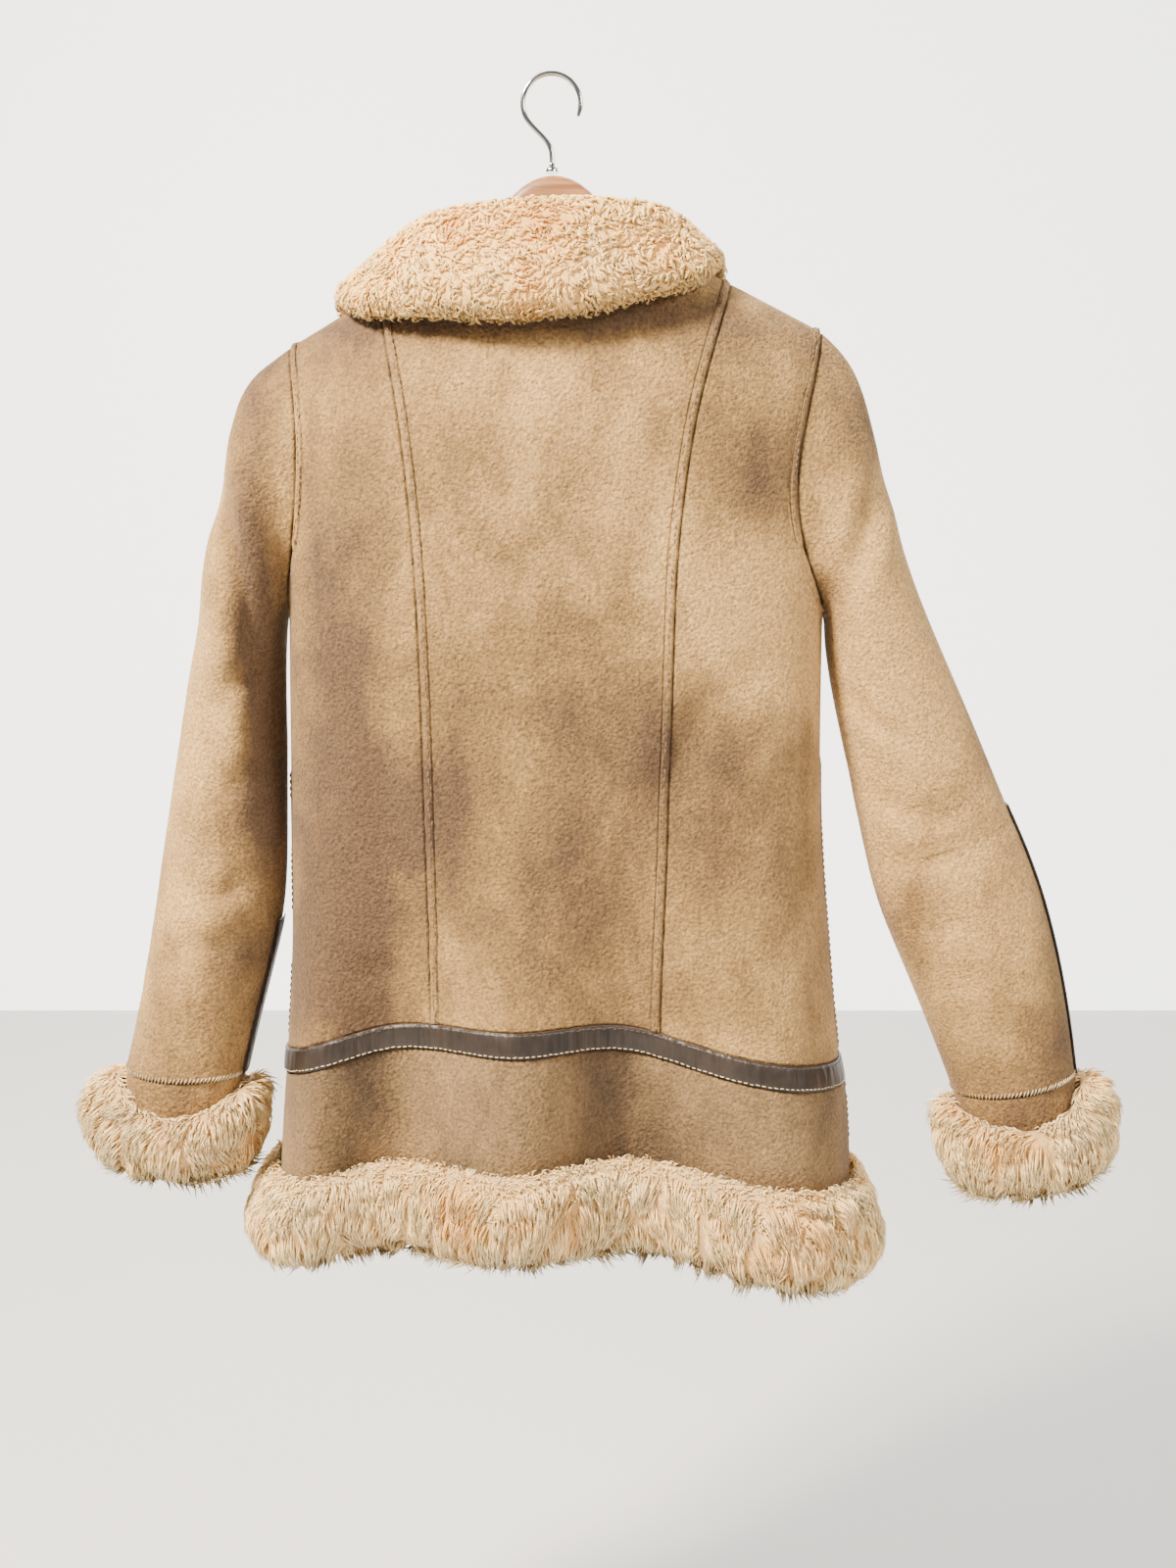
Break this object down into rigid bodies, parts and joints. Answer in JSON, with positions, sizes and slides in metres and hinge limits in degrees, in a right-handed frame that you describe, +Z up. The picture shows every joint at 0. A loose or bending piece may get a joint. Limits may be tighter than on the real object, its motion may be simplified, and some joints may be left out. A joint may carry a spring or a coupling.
{
  "type": "shearling coat on a wooden hanger",
  "caption": "Hip-length suede shearling coat with wool turned out at the collar, cuffs and fluted hem, hanging on a shaped wooden hanger with a steel hook.",
  "frame": {"origin": "inside of the hook's crown, where the rail bears", "axes": "+Z up; +Y towards the coat's back; +X towards the wearer's left"},
  "size_m": [0.7639, 0.2621, 0.8627],
  "materials": {
    "suede": "napped golden-tan suede",
    "trim_leather": "smooth grey-brown leather",
    "wool": "cream sheep's wool",
    "button": "plain dark brown, satin",
    "hanger_wood": "lacquered",
    "hook_steel": "plated wire"
  },
  "bodies": {
    "root": {"back_side_left": "suede", "back_centre": "suede", "back_side_right": "suede", "front_left": "suede", "front_right": "suede", "trim_back": "trim_leather", "trim_front_left": "trim_leather", "trim_front_right": "trim_leather", "skirt_back": "suede", "skirt_front_left": "suede", "skirt_front_right": "suede", "hem_fur_back": "wool", "hem_fur_front_left": "wool", "hem_fur_front_right": "wool", "sleeve_left": "suede", "sleeve_strip_left": "trim_leather", "cuff_band_left": "suede", "cuff_fur_left": "wool", "sleeve_right": "suede", "sleeve_strip_right": "trim_leather", "cuff_band_right": "suede", "cuff_fur_right": "wool", "collar_fur": "wool", "button_1": "button", "button_2": "button", "button_3": "button", "button_4": "button", "hanger_wood": "hanger_wood", "hanger_hook": "hook_steel"}
  },
  "joints": []
}
